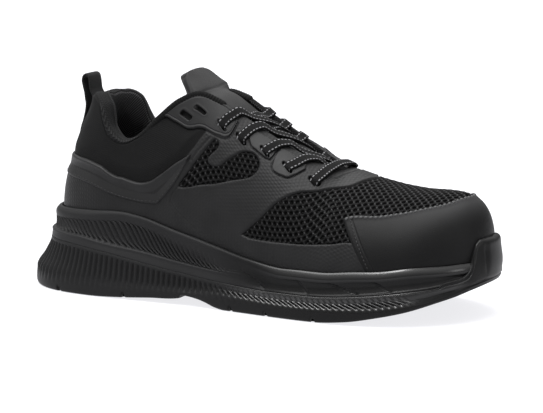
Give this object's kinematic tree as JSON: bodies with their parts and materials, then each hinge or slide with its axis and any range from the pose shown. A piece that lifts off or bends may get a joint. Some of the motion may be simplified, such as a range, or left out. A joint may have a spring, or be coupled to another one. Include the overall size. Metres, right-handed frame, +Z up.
{
  "type": "low-cut lace-up safety work shoe",
  "caption": "Right-foot low-cut work shoe with a hollow padded upper, laced throat, protective toe cap and a ribbed flared sole, standing on its tread.",
  "frame": {"origin": "on the floor, under the middle of the sole's box", "axes": "+X towards the toe, +Y towards the medial side, +Z up"},
  "size_m": [0.307, 0.1118, 0.1386],
  "materials": {
    "upper_textile": "matt black textile with a thin moulded film over its lower half",
    "sole_foam": "satin moulded foam",
    "sole_rubber": "satin moulded rubber",
    "footbed": "matt",
    "tongue_textile": "matt dark grey textile",
    "toe_film": "satin coated",
    "moulded_film": "satin moulded film",
    "lace": "woven, with a pale broken line along each edge",
    "webbing": "woven"
  },
  "bodies": {
    "root": {"upper": "upper_textile", "midsole": "sole_foam", "outsole": "sole_rubber", "insole": "footbed", "tongue": "tongue_textile", "toe_cap": "toe_film", "heel_counter": "moulded_film", "eyestay_lateral": "moulded_film", "eyestay_medial": "moulded_film", "lace_crossing_1": "lace", "lace_crossing_2": "lace", "lace_crossing_3": "lace", "lace_crossing_4": "lace", "lace_bar": "lace", "pull_loop": "webbing"}
  },
  "joints": []
}
